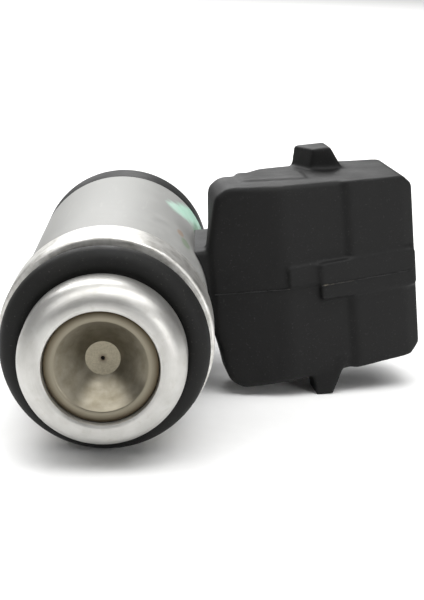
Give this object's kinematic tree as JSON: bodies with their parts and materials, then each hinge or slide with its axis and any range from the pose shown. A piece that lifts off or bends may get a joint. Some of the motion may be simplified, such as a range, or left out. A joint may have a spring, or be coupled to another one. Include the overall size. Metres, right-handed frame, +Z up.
{
  "type": "fuel injector",
  "caption": "Top-feed electronic fuel injector with a recessed spray mouth, O-ring seals at both ends, a metal barrel and a square two-blade plug socket on its side.",
  "frame": {"origin": "centre of the lower O-ring, on the injector's axis", "axes": "+Y along the axis from the nozzle to the fuel inlet, +X towards the plug socket, +Z up with the injector lying on its side"},
  "size_m": [0.0394, 0.0486, 0.0235],
  "materials": {
    "nozzle_steel": "bright turned stainless steel",
    "shoulder_steel": "brushed turned steel",
    "seal_rubber": "satin black rubber",
    "retainer_steel": "fuel-stained stainless steel",
    "plate_steel": "stained stainless steel plate",
    "valve_steel": "ground stainless steel",
    "magnetic_steel": "soft magnetic steel",
    "spring_steel": "drawn spring wire",
    "tube_steel": "drawn stainless tube",
    "support_plastic": "matt black plastic",
    "filter_plastic": "matt blue plastic",
    "filter_mesh": "fine woven mesh",
    "bobbin_plastic": "natural glass-filled plastic",
    "copper_wire": "enamelled copper wire",
    "barrel_steel": "matt plated steel",
    "black_plastic": "matt black glass-filled plastic",
    "tinned_brass": "tin-plated brass"
  },
  "bodies": {
    "injector": {"nozzle_body": "nozzle_steel", "shoulder_ring": "shoulder_steel", "lower_o_ring": "seal_rubber", "upper_o_ring": "seal_rubber", "plate_retainer": "retainer_steel", "orifice_plate": "plate_steel", "valve_seat": "valve_steel", "needle_guide": "valve_steel", "flux_washer": "magnetic_steel", "return_spring": "spring_steel", "adjusting_sleeve": "tube_steel", "valve_sleeve": "tube_steel", "inlet_tube": "tube_steel", "seal_support_ring": "support_plastic", "filter_frame": "filter_plastic", "filter_mesh": "filter_mesh", "coil_bobbin": "bobbin_plastic", "coil_winding": "copper_wire", "barrel_housing": "barrel_steel", "plug_moulding": "black_plastic", "terminal_upper": "tinned_brass", "terminal_lower": "tinned_brass"},
    "valve": {"valve_ball": "valve_steel", "needle_tube": "valve_steel", "armature": "magnetic_steel"}
  },
  "joints": [
    {"name": "valve_lift", "type": "slide", "parent": "injector", "child": "valve", "axis": [0, 1, 0], "range_m": [0, 0.0001], "stiffness_N_per_m": 1300, "springref_m": -0.0006, "deforming": ["return_spring"]}
  ]
}
